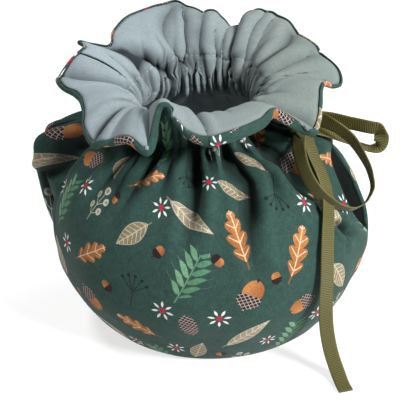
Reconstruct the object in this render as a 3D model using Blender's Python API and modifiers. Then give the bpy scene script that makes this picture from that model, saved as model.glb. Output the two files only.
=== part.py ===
"""Tea cosy of printed cotton: two gathered panels, a lined frill and a ribbon bow.

Metres, +Z up. The cosy stands on its hem at z = 0 with the pot left out. The spout opening
faces -X, the handle opening +X and the front panel -Y. The origin is the middle of the
bounding box at the floor, without the ribbon.

The cloth is one surface of two parameters. `turn` goes round the pot in degrees, from the
spout seam (180) past the front (270) to the handle seam (360) and past the back (450) to
the spout seam again (540). `run` climbs the cloth: it counts the rows of MERIDIAN from the
hem to the neck, and then goes from 0 to 1 more across the frill to its free edge.
"""

import bpy
import bmesh
import numpy as np
from mathutils import Vector

MM = 0.001

# Driving dimensions, in millimetres and degrees.
WALL = 1.8              # printed cotton with its thin wadding
LINING = 1.0            # plain cotton lining
CLEARANCE = 0.6         # between two cloths that lie on each other
SEAM_GAP = 0.6          # between the front and back panels at a side seam
LINING_GAP = 1.6        # and between the linings, which stop short of the seam
RIBBON_WIDTH = 8.0
RIBBON_THICK = 1.0
KNOT_SIZE = (13.0, 10.0, 8.5)

BOX_CENTRE = (-4.2, 0.0)    # middle of the box, seen from the neck's axis
FLATTENING = 0.10           # the belly is this much narrower from front to back
HEM_FLATTENING = 0.05       # and the hem this much more
NECK_SHIFT = -1.7           # the neck sits a little towards the spout
NECK_TILT = 4.0             # the neck's back is this much higher than its middle
GATHERS = 20                # elastic gathers round the neck
GATHER_DEPTH = 0.45

PANEL_COLUMNS = 46
LINING_START = 9.0          # the row of MERIDIAN where the lining panels begin
FRILL_STEPS = (0.0, 0.14, 0.3, 0.47, 0.65, 0.83, 1.0)

# Meridian of the body, from the edge of the turned-under hem to the neck.
MERIDIAN = (
    # radius, height
    (50.0, 0.0),
    (61.0, 0.0),
    (69.5, 5.5),
    (77.0, 14.5),
    (84.0, 27.0),
    (89.5, 42.0),
    (91.5, 56.0),
    (91.0, 71.0),
    (86.5, 87.0),
    (77.5, 103.0),
    (65.0, 115.5),
    (51.5, 123.5),
    (41.5, 127.0),
    (37.2, 130.5),
    (36.5, 136.0),
)

# Where the frill's cloth leaves the neck, and where its free edge then lies.
FRILL = (
    # neck turn, edge turn, edge reach, edge height, rise
    (168, 172, 71, 166, 19),
    (174, 175, 66, 165, 20),
    (181, 179, 69, 163, 20),
    (188, 185, 79, 152, 16),
    (196, 193, 67, 146, 18),
    (205, 208, 65, 143, 18),
    (214, 227, 72, 135, 18),
    (223, 237, 67, 137, 20),
    (232, 247, 66, 141, 22),
    (240, 257, 67, 137, 22),
    (249, 260, 53, 155, 24),
    (258, 266, 57, 151, 28),
    (267, 274, 61, 145, 27),
    (276, 283, 63, 142, 22),
    (286, 291, 63, 143, 21),
    (296, 300, 62, 144, 20),
    (304, 311, 60, 145, 20),
    (312, 322, 57, 146, 19),
    (319, 328, 64, 139, 18),
    (327, 334, 72, 133, 18),
    (336, 344, 70, 143, 19),
    (344, 351, 68, 148, 21),
    (352, 357, 69, 148, 21),
    (360, 364, 73, 143, 20),
    (367, 369, 77, 142, 19),
    (374, 375, 77, 147, 21),
    (379, 381, 72, 152, 22),
    (389, 397, 73, 153, 22),
    (400, 410, 73, 159, 22),
    (411, 419, 71, 165, 22),
    (421, 427, 66, 168, 22),
    (428, 433, 59, 164, 22),
    (434, 438, 53, 159, 20),
    (442, 446, 56, 165, 22),
    (450, 453, 56, 170, 22),
    (457, 461, 55, 171, 22),
    (465, 469, 67, 174, 22),
    (475, 478, 70, 172, 22),
    (485, 487, 70, 170, 22),
    (497, 498, 68, 169, 22),
    (508, 507, 66, 165, 20),
    (519, 518, 61, 161, 20),
)

# Valleys that run down from the neck, worn into the shoulder by the gathering.
VALLEYS = (
    # neck turn, foot turn, foot height, depth, half width
    (201, 194, 72, 5.0, 4.5),
    (222, 214, 96, 2.5, 5.0),
    (240, 236, 92, 3.0, 5.0),
    (273, 276, 88, 5.0, 5.0),
    (290, 287, 98, 2.0, 4.0),
    (299, 295, 86, 5.5, 5.0),
    (312, 311, 96, 3.0, 4.5),
    (322, 328, 100, 6.0, 5.5),
    (378, 384, 92, 4.0, 5.0),
    (398, 400, 96, 3.0, 4.5),
    (417, 415, 90, 5.0, 5.0),
    (437, 438, 98, 2.5, 4.5),
    (455, 452, 88, 4.5, 5.0),
    (473, 475, 98, 2.5, 4.5),
    (491, 494, 90, 4.5, 5.0),
    (512, 518, 94, 3.0, 5.0),
)

# The cloth is pushed out round the roots of the spout and the handle.
SPOUT_BULGE = (
    # height, push
    (58, 0), (71, 4), (84, 10), (98, 18), (108, 26), (114, 30), (119, 31), (124, 26),
    (128, 14), (132, 4), (136, 0), (150, 0),
)
HANDLE_BULGE = (
    # height, push
    (100, 0), (108, 2), (114, 8), (118, 12), (122, 11), (126, 6), (130, 1), (150, 0),
)
BULGE_FLAT = 10.0           # half width of the even part of a bulge
BULGE_SKIRT = 12.0          # and the reach over which it fades

# Openings in the side seams: half angles towards the front and towards the back.
SPOUT_SLOT = {"low": 95.0, "high": 125.0, "front": 9.0, "back": 9.0}
HANDLE_SLOT = {"low": 58.0, "high": 116.0, "front": 14.5, "back": 10.0}
PANEL_START = {"front": 180.0, "back": 360.0}
PANEL_SLOTS = {"front": (SPOUT_SLOT, HANDLE_SLOT), "back": (HANDLE_SLOT, SPOUT_SLOT)}

# The ribbon's two loops and its tail, in the neck's own frame. `edge_on` turns the flat
# side away from the front: 0 shows the face and 90 the edge.
KNOT = (57.0, -11.0, 128.0)
LOWER_LOOP = (
    # x, y, z, edge_on
    (56, -10, 129, 20),
    (65, -8, 131.5, 20),
    (75, -12, 131, 25),
    (84, -13, 124, 40),
    (91, -14, 113, 65),
    (95, -13, 101, 80),
    (96, -14, 92, 88),
    (93, -18, 87, 95),
    (88, -25, 86, 104),
    (82, -33, 89, 116),
    (75, -42, 97, 128),
    (68, -43, 105, 134),
    (62, -38, 115, 138),
    (59, -29, 123, 142),
    (57, -14, 127, 150),
)
SIDE_LOOP = (
    # x, y, z, edge_on
    (56, -8, 129, 30),
    (66, -4, 130, 34),
    (84, -5, 127.5, 38),
    (95, -8, 126.5, 40),
    (101.5, -9, 124, 40),
    (102.5, -8, 118, 42),
    (98, -6, 113, 54),
    (90, -5, 114, 62),
    (81, -5, 118, 62),
    (70, -6, 123.5, 50),
    (59, -9, 127, 34),
)
TAIL = (
    # x, y, z, edge_on
    (57, -13, 127, -20),
    (61, -20, 125, -32),
    (65, -28, 119, -40),
    (70, -34, 110.5, -42),
    (73, -38, 102, -40),
    (74, -42, 92, -36),
    (74, -48, 83, -32),
    (74, -53, 71, -28),
    (74, -56, 59, -24),
    (73.5, -58, 47, -18),
    (74, -59, 28, -8),
    (77, -61, 12, -4),
    (80.5, -65, 3.6, -6),
    (83, -71, 1.4, -15),
    (85.5, -77, 1.1, -19),
)
RIBBON_STEPS = 30

COLOURS = {
    "print_cotton": (0.055, 0.130, 0.105),
    "lining_cotton": (0.400, 0.480, 0.480),
    "ribbon": (0.260, 0.250, 0.110),
}


def smoothstep(x, low, high):
    """0 below low, 1 above high, and a soft step between."""
    t = np.clip((x - low) / (high - low), 0.0, 1.0)
    return t * t * (3.0 - 2.0 * t)


def spline(x, knots, values):
    """Smooth curve through (knots, values), read at x: cubic pieces with shared slopes."""
    knots = np.asarray(knots, float)
    values = np.asarray(values, float)
    slopes = np.gradient(values, knots, axis=0)
    x = np.asarray(x, float)
    i = np.clip(np.searchsorted(knots, x, side="right") - 1, 0, len(knots) - 2)
    width = knots[i + 1] - knots[i]
    t = (x - knots[i]) / width
    if values.ndim > 1:
        t = t[..., None]
        width = width[..., None]
    start = (1 + 2 * t) * (1 - t) ** 2 * values[i] + t * (1 - t) ** 2 * width * slopes[i]
    end = t * t * (3 - 2 * t) * values[i + 1] - t * t * (1 - t) * width * slopes[i + 1]
    return start + end


def ring_spline(turn, knots, values):
    """The same for a closed ring: the table is repeated a full turn before and after."""
    knots = np.asarray(knots, float)
    values = np.asarray(values, float)
    full = np.concatenate([knots - 360, knots, knots + 360])
    return spline(turn, full, np.concatenate([values] * 3))


def seam_window(turn):
    """0 on the two side seams and 1 a few degrees away, so that the panels match there."""
    away = np.abs((turn + 90.0) % 180.0 - 90.0)
    return smoothstep(away, 0.0, 8.0)


def gathers(turn):
    """Depth of the elastic gathers at a turn, uneven in width, from -1 to 1."""
    phase = np.radians(turn)
    wave = np.cos(GATHERS * phase + 0.7 * np.sin(3 * phase) + 0.4 * np.sin(5 * phase + 1))
    return wave * seam_window(turn)


def valleys(angle, radius, height):
    """Depth of the shoulder's valleys, each a soft trough along its own line."""
    depth = np.zeros(np.broadcast(angle, height).shape)
    for neck_turn, foot_turn, foot_height, deepest, half_width in VALLEYS:
        climb = np.clip((height - foot_height) / (130.0 - foot_height), 0.0, 1.0)
        line = foot_turn + (neck_turn - foot_turn) * climb
        arc = np.radians((angle - line + 180.0) % 360.0 - 180.0) * radius
        width = half_width * (1.5 - 0.6 * climb)
        fade = smoothstep(climb, 0.0, 0.45) * (1.0 - 0.7 * smoothstep(height, 121.0, 128.0))
        depth += deepest * fade * np.exp(-((arc / width) ** 2))
    return depth


def slot_half_angle(slot, side, height):
    """How far a panel's edge is drawn back from its seam at a height."""
    t = np.clip((height - slot["low"]) / (slot["high"] - slot["low"]), 0.0, 1.0)
    return slot[side] * np.sin(np.pi * t) ** 0.8


def panel_angle(turn, height, side):
    """Angle of a point: its turn, moved back from the openings beside the seams."""
    first, last = PANEL_SLOTS[side]
    share = (turn - PANEL_START[side]) / 180.0
    start = slot_half_angle(first, side, height) * (1 - share) ** 3
    end = slot_half_angle(last, side, height) * share ** 3
    return turn + start - end


def bulge(angle, radius, height, seam, table):
    """Outward push of the cloth near a seam, read by height from a bulge table."""
    arc = np.abs(np.radians((angle - seam + 180.0) % 360.0 - 180.0)) * radius
    push = np.maximum(spline(np.clip(height, table[0][0], table[-1][0]), *zip(*table)), 0.0)
    return push * np.exp(-((np.maximum(arc - BULGE_FLAT, 0.0) / BULGE_SKIRT) ** 2))


def body(turn, run, side):
    """Outer cloth of one panel below its frill."""
    rows = np.arange(len(MERIDIAN))
    radius, height = np.moveaxis(spline(run, rows, MERIDIAN), -1, 0)
    climb = spline(run + 0.01, rows, MERIDIAN) - spline(run - 0.01, rows, MERIDIAN)
    climb /= np.linalg.norm(climb, axis=-1, keepdims=True)
    out_radius, out_height = climb[..., 1], -climb[..., 0]
    height = np.where(run <= 1.0, 0.0, height)

    angle = panel_angle(turn, height, side)
    inward = valleys(angle, radius, height)
    inward = inward + GATHER_DEPTH * gathers(turn) * smoothstep(height, 108.0, 126.0)
    radius_in = radius - inward * out_radius
    height_in = height - inward * out_height

    across = np.cos(np.radians(angle))
    along = np.sin(np.radians(angle))
    narrow = 1.0 - FLATTENING * smoothstep(radius, 36.0, 78.0)
    narrow = narrow - HEM_FLATTENING * (1.0 - smoothstep(height, 8.0, 50.0))
    x = radius_in * across + NECK_SHIFT * smoothstep(height, 60.0, 130.0)
    x = x - bulge(angle, radius, height, 180.0, SPOUT_BULGE)
    x = x + bulge(angle, radius, height, 0.0, HANDLE_BULGE)
    y = radius_in * narrow * along
    z = height_in + NECK_TILT * along * smoothstep(height, 112.0, 130.0)
    return np.stack([x, y, np.maximum(z, 0.0)], axis=-1)


def frill(turn, climb, side):
    """Outer cloth of the frill: an arc from the neck over a crest to the free edge."""
    neck = body(turn, np.full_like(turn, len(MERIDIAN) - 1.0), side)
    table = np.array(FRILL, float)
    swing = table[:, 1] - table[:, 0]
    values = ring_spline(turn, table[:, 0], np.column_stack([swing, table[:, 2:]]))
    edge_turn, reach, height, rise = np.moveaxis(values, -1, 0)
    edge_angle = np.radians(turn + edge_turn)
    edge = np.stack([reach * np.cos(edge_angle), reach * np.sin(edge_angle), height], -1)
    crest_angle = np.radians(turn + 0.3 * edge_turn)
    crest_reach = 36.0 + 5.0
    crest = np.stack([
        crest_reach * np.cos(crest_angle) + NECK_SHIFT,
        crest_reach * np.sin(crest_angle),
        neck[..., 2] + rise], -1)
    f = climb[..., None]
    pleat = GATHER_DEPTH * gathers(turn) * (1.0 - climb) ** 2 * climb * 4.0
    out = np.stack([np.cos(np.radians(turn)), np.sin(np.radians(turn)), 0 * turn], -1)
    arc = (1 - f) ** 2 * neck + 2 * f * (1 - f) * crest + f * f * edge
    return arc - pleat[..., None] * out


def cloth(turn, run, side):
    """Points of one panel's outer face, in millimetres, for arrays of turn and run."""
    turn, run = np.broadcast_arrays(np.asarray(turn, float), np.asarray(run, float))
    last = len(MERIDIAN) - 1.0
    below = body(turn, np.minimum(run, last), side)
    above = frill(turn, np.clip(run - last, 0.0, 1.0), side)
    return np.where((run > last)[..., None], above, below)


def material(name):
    """Principled material in one of the named colours."""
    made = bpy.data.materials.get(name)
    if made is None:
        made = bpy.data.materials.new(name)
        made.use_nodes = True
        shader = made.node_tree.nodes["Principled BSDF"]
        shader.inputs["Base Color"].default_value = (*COLOURS[name], 1.0)
        shader.inputs["Roughness"].default_value = 0.9
        shader.inputs["Metallic"].default_value = 0.0
    return made


def add_object(name, mesh, collection, slot):
    """Object for a mesh, smooth shaded and linked to a collection."""
    made = bpy.data.objects.new(name, mesh)
    mesh.materials.append(material(slot))
    mesh.shade_smooth()
    collection.objects.link(made)
    return made


def grid_mesh(name, columns, rows, place):
    """Grid whose vertex (column, row) lies where `place` puts it, in millimetres."""
    builder = bmesh.new()
    bmesh.ops.create_grid(builder, x_segments=columns, y_segments=rows, size=1.0)
    flat = np.array([vertex.co for vertex in builder.verts])
    column = np.rint((flat[:, 0] + 1.0) / 2.0 * columns).astype(int)
    row = np.rint((flat[:, 1] + 1.0) / 2.0 * rows).astype(int)
    offset = np.array([BOX_CENTRE[0], BOX_CENTRE[1], 0.0])
    for vertex, point in zip(builder.verts, (place(column, row) - offset) * MM):
        vertex.co = Vector(point)
    mesh = bpy.data.meshes.new(name)
    builder.to_mesh(mesh)
    builder.free()
    return mesh


def thicken(made, thickness, inset):
    """Give an open sheet its thickness; its outer face ends up an inset below the sheet."""
    shell = made.modifiers.new("thickness", "SOLIDIFY")
    shell.thickness = thickness * MM
    shell.offset = -1.0 - 2.0 * inset / thickness


def make_cloth(name, side, runs, inset, thickness, gap, slot, collection):
    """One cut piece from side seam to side seam, half a gap short of each."""
    columns = PANEL_COLUMNS
    turns = PANEL_START[side] + 180.0 * np.arange(columns + 1) / columns
    points = cloth(turns[:, None], np.asarray(runs)[None, :], side)
    for edge, neighbour in ((0, 1), (-1, -2)):
        way = points[neighbour] - points[edge]
        way /= np.linalg.norm(way, axis=-1, keepdims=True)
        points[edge] += 0.5 * gap * way
    mesh = grid_mesh(name, columns, len(runs) - 1, lambda i, j: points[i, j])
    made = add_object(name, mesh, collection, slot)
    thicken(made, thickness, inset)
    return made


def ribbon_points(route, steps):
    """Centre and width direction along a route, evenly spaced."""
    route = np.array(route, float)
    gaps = np.linalg.norm(np.diff(route[:, :3], axis=0), axis=1)
    stations = np.concatenate([[0.0], np.cumsum(gaps)])
    even = np.linspace(0.0, stations[-1], steps + 1)
    centre = spline(even, stations, route[:, :3])
    turn = np.radians(spline(even, stations, route[:, 3]))[:, None]
    along = np.gradient(centre, axis=0)
    along /= np.linalg.norm(along, axis=1, keepdims=True)
    front = np.array([0.18, -0.86, 0.47])
    side = np.cross(along, front)
    side /= np.linalg.norm(side, axis=1, keepdims=True)
    deep = np.cross(along, side)
    return centre, np.cos(turn) * side + np.sin(turn) * deep


def make_strip(name, route, collection):
    """A length of flat ribbon along a route."""
    centre, side = ribbon_points(route, RIBBON_STEPS)
    half = 0.5 * RIBBON_WIDTH

    def place(i, j):
        return centre[i] + (j[:, None] - 1.0) * half * side[i]

    mesh = grid_mesh(name, RIBBON_STEPS, 2, place)
    made = add_object(name, mesh, collection, "ribbon")
    thicken(made, RIBBON_THICK, -0.5 * RIBBON_THICK)
    return made


def make_ribbon(collection, guides):
    """Knot with its two loops and tail joined to it as one tied ribbon."""
    builder = bmesh.new()
    bmesh.ops.create_uvsphere(builder, u_segments=16, v_segments=10, radius=0.5)
    bmesh.ops.scale(builder, vec=Vector(KNOT_SIZE) * MM, verts=builder.verts)
    mesh = bpy.data.meshes.new("ribbon_tie")
    builder.to_mesh(mesh)
    builder.free()
    knot = add_object("ribbon_tie", mesh, collection, "ribbon")
    knot.location = (
        (KNOT[0] - BOX_CENTRE[0]) * MM, (KNOT[1] - BOX_CENTRE[1]) * MM, KNOT[2] * MM)
    for name, route in (("lower_loop", LOWER_LOOP), ("side_loop", SIDE_LOOP), ("tail", TAIL)):
        strip = make_strip(name, route, guides)
        strip.hide_render = True
        strip.display_type = "WIRE"
        joined = knot.modifiers.new(name, "BOOLEAN")
        joined.operation = "UNION"
        joined.use_self = True
        joined.object = strip
    return knot


def main():
    for old in list(bpy.data.objects):
        bpy.data.objects.remove(old)
    cosy = bpy.data.collections.new("tea_cosy")
    guides = bpy.data.collections.new("guides")
    bpy.context.scene.collection.children.link(cosy)
    bpy.context.scene.collection.children.link(guides)

    last = len(MERIDIAN) - 1
    frill_runs = [last + step for step in FRILL_STEPS[1:]]
    panel_runs = list(range(last + 1)) + [8.5, 9.5, 10.5, 11.5, 13.5] + frill_runs
    panel_runs.sort()
    lining_runs = [run for run in panel_runs if run >= LINING_START]
    for side in PANEL_START:
        make_cloth(side + "_panel", side, panel_runs, 0.0, WALL, SEAM_GAP,
                   "print_cotton", cosy)
        make_cloth(side + "_lining", side, lining_runs, WALL + CLEARANCE, LINING, LINING_GAP,
                   "lining_cotton", cosy)
    make_ribbon(cosy, guides)


if __name__ == "__main__":
    main()
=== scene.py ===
"""Tea cosy in printed cotton, with a lined frill and a grosgrain bow, on its fixed frame.

Lengths in the tables are in millimetres and angles in degrees, from the neck's axis. Two
parameters run over the cloth. `turn` goes round the pot, from the spout seam (180) past the
front (270) to the handle seam (360) and past the back (450). `run` climbs the cloth: it
counts the rows of MERIDIAN from the hem to the neck, and then goes from 0 to 1 more across
the frill.
"""

import bpy
import numpy as np
from mathutils import Matrix, Vector


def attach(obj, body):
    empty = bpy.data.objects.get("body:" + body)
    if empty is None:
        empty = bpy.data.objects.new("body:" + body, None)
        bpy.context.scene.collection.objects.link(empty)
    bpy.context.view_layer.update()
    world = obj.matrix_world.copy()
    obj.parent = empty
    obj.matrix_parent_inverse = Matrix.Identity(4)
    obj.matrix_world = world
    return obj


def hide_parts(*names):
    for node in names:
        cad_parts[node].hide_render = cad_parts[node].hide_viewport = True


bl_info = {
    "name": "Tea cosy",
    "version": (1, 0, 0),
    "blender": (4, 5, 0),
    "location": "View3D > Sidebar > Tea cosy",
    "description": "Printed cotton, plain lining and ribbon bow for the tea cosy's frame",
    "category": "Object",
}

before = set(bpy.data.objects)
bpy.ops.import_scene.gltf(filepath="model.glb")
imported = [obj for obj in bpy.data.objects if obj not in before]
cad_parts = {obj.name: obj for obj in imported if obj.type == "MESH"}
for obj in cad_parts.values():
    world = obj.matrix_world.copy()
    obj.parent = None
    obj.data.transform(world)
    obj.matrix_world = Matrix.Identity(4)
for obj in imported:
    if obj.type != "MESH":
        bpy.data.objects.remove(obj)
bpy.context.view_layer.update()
MM = 0.001

# ---------------------------------------------------------------------------------------
# The cloth's shape
# ---------------------------------------------------------------------------------------

BOX_CENTRE = (-4.2, 0.0)        # the part's origin, seen from the neck's axis
FLATTENING = 0.10               # the belly is this much narrower from front to back
FLATTENING_RADII = (36.0, 78.0)     # and that grows in between these radii
HEM_FLATTENING = 0.05           # the hem is this much narrower still
HEM_HEIGHTS = (8.0, 50.0)           # and that fades out between these heights
NECK_SHIFT = -1.7               # the neck sits a little towards the spout
SHIFT_HEIGHTS = (60.0, 130.0)
NECK_TILT = 4.0                 # its back is this much higher than its middle
TILT_HEIGHTS = (112.0, 130.0)
LAYERS = 3.4                    # from the print's face to the lining's face
BELLY_RADIUS = 91.5
ROW_LENGTH = 14.0               # mean length along the cloth from row to row of MERIDIAN
FRILL_LENGTH = 40.0             # and of the frill
FRILL_RADIUS = 62.0             # mean radius of the frill's edge
CREST_RADIUS = 41.0             # radius of the line over which the frill turns out
CREST_SWING = 0.3               # how much of the edge's swing that line takes up
HALF_TURN = 180.0               # each panel goes this far round
PANEL_START = {"front": 180.0, "back": 360.0}
LINING_START = 9.0              # the run where the lining begins

MERIDIAN = (
    # radius, height
    (50.0, 0.0),
    (61.0, 0.0),
    (69.5, 5.5),
    (77.0, 14.5),
    (84.0, 27.0),
    (89.5, 42.0),
    (91.5, 56.0),
    (91.0, 71.0),
    (86.5, 87.0),
    (77.5, 103.0),
    (65.0, 115.5),
    (51.5, 123.5),
    (41.5, 127.0),
    (37.2, 130.5),
    (36.5, 136.0),
)
NECK = len(MERIDIAN) - 1.0

FRILL = (
    # neck turn, edge turn, edge reach, edge height, rise
    (168, 172, 71, 166, 19),
    (174, 175, 66, 165, 20),
    (181, 179, 69, 163, 20),
    (188, 185, 79, 152, 16),
    (196, 193, 67, 146, 18),
    (205, 208, 65, 143, 18),
    (214, 227, 72, 135, 18),
    (223, 237, 67, 137, 20),
    (232, 247, 66, 141, 22),
    (240, 257, 67, 137, 22),
    (249, 260, 53, 155, 24),
    (258, 266, 57, 151, 28),
    (267, 274, 61, 145, 27),
    (276, 283, 63, 142, 22),
    (286, 291, 63, 143, 21),
    (296, 300, 62, 144, 20),
    (304, 311, 60, 145, 20),
    (312, 322, 57, 146, 19),
    (319, 328, 64, 139, 18),
    (327, 334, 72, 133, 18),
    (336, 344, 70, 143, 19),
    (344, 351, 68, 148, 21),
    (352, 357, 69, 148, 21),
    (360, 364, 73, 143, 20),
    (367, 369, 77, 142, 19),
    (374, 375, 77, 147, 21),
    (379, 381, 72, 152, 22),
    (389, 397, 73, 153, 22),
    (400, 410, 73, 159, 22),
    (411, 419, 71, 165, 22),
    (421, 427, 66, 168, 22),
    (428, 433, 59, 164, 22),
    (434, 438, 53, 159, 20),
    (442, 446, 56, 165, 22),
    (450, 453, 56, 170, 22),
    (457, 461, 55, 171, 22),
    (465, 469, 67, 174, 22),
    (475, 478, 70, 172, 22),
    (485, 487, 70, 170, 22),
    (497, 498, 68, 169, 22),
    (508, 507, 66, 165, 20),
    (519, 518, 61, 161, 20),
)

VALLEY_TOP = 130.0
VALLEY_FADE = (121.0, 128.0)    # heights between which a valley gives way to the gathers
VALLEYS = (
    # neck turn, foot turn, foot height, depth, half width
    (201, 194, 72, 5.0, 4.5),
    (222, 214, 96, 2.5, 5.0),
    (240, 236, 92, 3.0, 5.0),
    (273, 276, 88, 5.0, 5.0),
    (290, 287, 98, 2.0, 4.0),
    (299, 295, 86, 5.5, 5.0),
    (312, 311, 96, 3.0, 4.5),
    (322, 328, 100, 6.0, 5.5),
    (378, 384, 92, 4.0, 5.0),
    (398, 400, 96, 3.0, 4.5),
    (417, 415, 90, 5.0, 5.0),
    (437, 438, 98, 2.5, 4.5),
    (455, 452, 88, 4.5, 5.0),
    (473, 475, 98, 2.5, 4.5),
    (491, 494, 90, 4.5, 5.0),
    (512, 518, 94, 3.0, 5.0),
)

SPOUT_BULGE = (
    # height, push
    (58, 0), (71, 4), (84, 10), (98, 18), (108, 26), (114, 30), (119, 31), (124, 26),
    (128, 14), (132, 4), (136, 0), (150, 0),
)
HANDLE_BULGE = (
    # height, push
    (30, 0), (42, 1.2), (56, 2.4), (68, 1.6), (80, 0), (100, 0), (108, 2), (114, 8),
    (118, 12), (122, 11), (126, 6), (130, 1), (150, 0),
)
BULGE_FLAT = 10.0           # half width of the even part of a bulge
BULGE_SKIRT = 12.0          # and the reach over which it fades

SPOUT_SLOT = {"low": 95.0, "high": 125.0, "front": 9.0, "back": 9.0}
HANDLE_SLOT = {"low": 58.0, "high": 116.0, "front": 14.5, "back": 10.0}
PANEL_SLOTS = {"front": (SPOUT_SLOT, HANDLE_SLOT), "back": (HANDLE_SLOT, SPOUT_SLOT)}

# How thick the padded edge of the frill is. It is puffed up where the frill turns over at
# the front, so that a band of the print shows past the lining's seam.
EDGE_PUFF = (
    # turn, radius
    (180, 1.3), (187, 1.6), (193, 3.4), (199, 2.2), (210, 1.8), (222, 2.4), (238, 2.6),
    (249, 1.7), (260, 1.7), (268, 2.8), (285, 3.6), (305, 3.4), (318, 2.6), (333, 2.2),
    (348, 1.6), (362, 1.4), (375, 1.2), (400, 1.2), (450, 1.2), (500, 1.2), (525, 1.3),
)


def smoothstep(x, low, high):
    """0 below low, 1 above high, and a soft step between."""
    t = np.clip((x - low) / (high - low), 0.0, 1.0)
    return t * t * (3.0 - 2.0 * t)


def unit(vectors):
    """The same directions with length 1."""
    return vectors / np.maximum(np.linalg.norm(vectors, axis=-1, keepdims=True), 1e-9)


def spline(x, knots, values):
    """Smooth curve through (knots, values), read at x: cubic pieces with shared slopes."""
    knots = np.asarray(knots, float)
    values = np.asarray(values, float)
    slopes = np.gradient(values, knots, axis=0)
    x = np.asarray(x, float)
    i = np.clip(np.searchsorted(knots, x, side="right") - 1, 0, len(knots) - 2)
    width = knots[i + 1] - knots[i]
    t = (x - knots[i]) / width
    if values.ndim > 1:
        t = t[..., None]
        width = width[..., None]
    start = (1 + 2 * t) * (1 - t) ** 2 * values[i] + t * (1 - t) ** 2 * width * slopes[i]
    end = t * t * (3 - 2 * t) * values[i + 1] - t * t * (1 - t) * width * slopes[i + 1]
    return start + end


def ring_spline(turn, knots, values):
    """The same for a closed ring: the table is repeated a full turn before and after."""
    knots = np.asarray(knots, float)
    values = np.asarray(values, float)
    full = np.concatenate([knots - 360, knots, knots + 360])
    return spline(turn, full, np.concatenate([values] * 3))


def turn_between(angle, other):
    """Degrees from one angle to another by the shorter way round."""
    return (angle - other + 180.0) % 360.0 - 180.0


def valleys(angle, radius, height):
    """Depth of the shoulder's valleys, each a soft trough along its own line."""
    depth = np.zeros(np.broadcast(angle, height).shape)
    for neck_turn, foot_turn, foot_height, deepest, half_width in VALLEYS:
        climb = np.clip((height - foot_height) / (VALLEY_TOP - foot_height), 0.0, 1.0)
        line = foot_turn + (neck_turn - foot_turn) * climb
        arc = np.radians(turn_between(angle, line)) * radius
        width = half_width * (1.5 - 0.6 * climb)
        fade = smoothstep(climb, 0.0, 0.45) * (1.0 - 0.7 * smoothstep(height, *VALLEY_FADE))
        depth += deepest * fade * np.exp(-((arc / width) ** 2))
    return depth


def slot_half_angle(slot, side, height):
    """How far a panel's edge is drawn back from its seam at a height."""
    t = np.clip((height - slot["low"]) / (slot["high"] - slot["low"]), 0.0, 1.0)
    return slot[side] * np.sin(np.pi * t) ** 0.8


def panel_angle(turn, height, side):
    """Angle of a point: its turn, moved back from the openings beside the seams."""
    first, last = PANEL_SLOTS[side]
    share = (turn - PANEL_START[side]) / HALF_TURN
    start = slot_half_angle(first, side, height) * (1 - share) ** 3
    end = slot_half_angle(last, side, height) * share ** 3
    return turn + start - end


def bulge(angle, radius, height, seam, table):
    """Outward push of the cloth near a seam, read by height from a bulge table."""
    arc = np.abs(np.radians(turn_between(angle, seam))) * radius
    push = np.maximum(spline(np.clip(height, table[0][0], table[-1][0]), *zip(*table)), 0.0)
    return push * np.exp(-((np.maximum(arc - BULGE_FLAT, 0.0) / BULGE_SKIRT) ** 2))


def body(turn, run, side):
    """Smooth cloth of one panel below its frill: the meridian turned round the pot, made
    narrower from front to back, pushed out at the openings and worn in along the valleys."""
    rows = np.arange(len(MERIDIAN))
    radius, height = np.moveaxis(spline(run, rows, MERIDIAN), -1, 0)
    climb = unit(spline(run + 0.01, rows, MERIDIAN) - spline(run - 0.01, rows, MERIDIAN))
    out_radius, out_height = climb[..., 1], -climb[..., 0]
    height = np.where(run <= 1.0, 0.0, height)

    angle = panel_angle(turn, height, side)
    inward = valleys(angle, radius, height)
    radius_in = radius - inward * out_radius
    height_in = height - inward * out_height

    across = np.cos(np.radians(angle))
    along = np.sin(np.radians(angle))
    narrow = 1.0 - FLATTENING * smoothstep(radius, *FLATTENING_RADII)
    narrow = narrow - HEM_FLATTENING * (1.0 - smoothstep(height, *HEM_HEIGHTS))
    x = radius_in * across + NECK_SHIFT * smoothstep(height, *SHIFT_HEIGHTS)
    x = x - bulge(angle, radius, height, 180.0, SPOUT_BULGE)
    x = x + bulge(angle, radius, height, 0.0, HANDLE_BULGE)
    y = radius_in * narrow * along
    z = height_in + NECK_TILT * along * smoothstep(height, *TILT_HEIGHTS)
    return np.stack([x, y, np.maximum(z, 0.0)], axis=-1)


def frill(turn, climb, side):
    """Smooth cloth of the frill: an arc from the neck over a crest to the free edge."""
    neck = body(turn, np.full_like(turn, NECK), side)
    table = np.array(FRILL, float)
    swing = table[:, 1] - table[:, 0]
    values = ring_spline(turn, table[:, 0], np.column_stack([swing, table[:, 2:]]))
    edge_turn, reach, height, rise = np.moveaxis(values, -1, 0)
    edge_angle = np.radians(turn + edge_turn)
    edge = np.stack([reach * np.cos(edge_angle), reach * np.sin(edge_angle), height], -1)
    crest_angle = np.radians(turn + CREST_SWING * edge_turn)
    crest = np.stack([
        CREST_RADIUS * np.cos(crest_angle) + NECK_SHIFT,
        CREST_RADIUS * np.sin(crest_angle),
        neck[..., 2] + rise], -1)
    f = climb[..., None]
    return (1 - f) ** 2 * neck + 2 * f * (1 - f) * crest + f * f * edge


def cloth(turn, run, side):
    """Points of one panel's smooth outer face, in millimetres, and its outward normals."""
    turn, run = np.broadcast_arrays(turn[:, None], run[None, :])
    below = body(turn, np.minimum(run, NECK), side)
    above = frill(turn, np.clip(run - NECK, 0.0, 1.0), side)
    points = np.where((run > NECK)[..., None], above, below)
    points = points - folds(turn, run)[..., None] * outward_normals(points)
    return points, outward_normals(points)


def outward_normals(points):
    """Normals of a grid of points, towards the print's side."""
    return unit(np.cross(np.gradient(points, axis=0), np.gradient(points, axis=1)))


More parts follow.
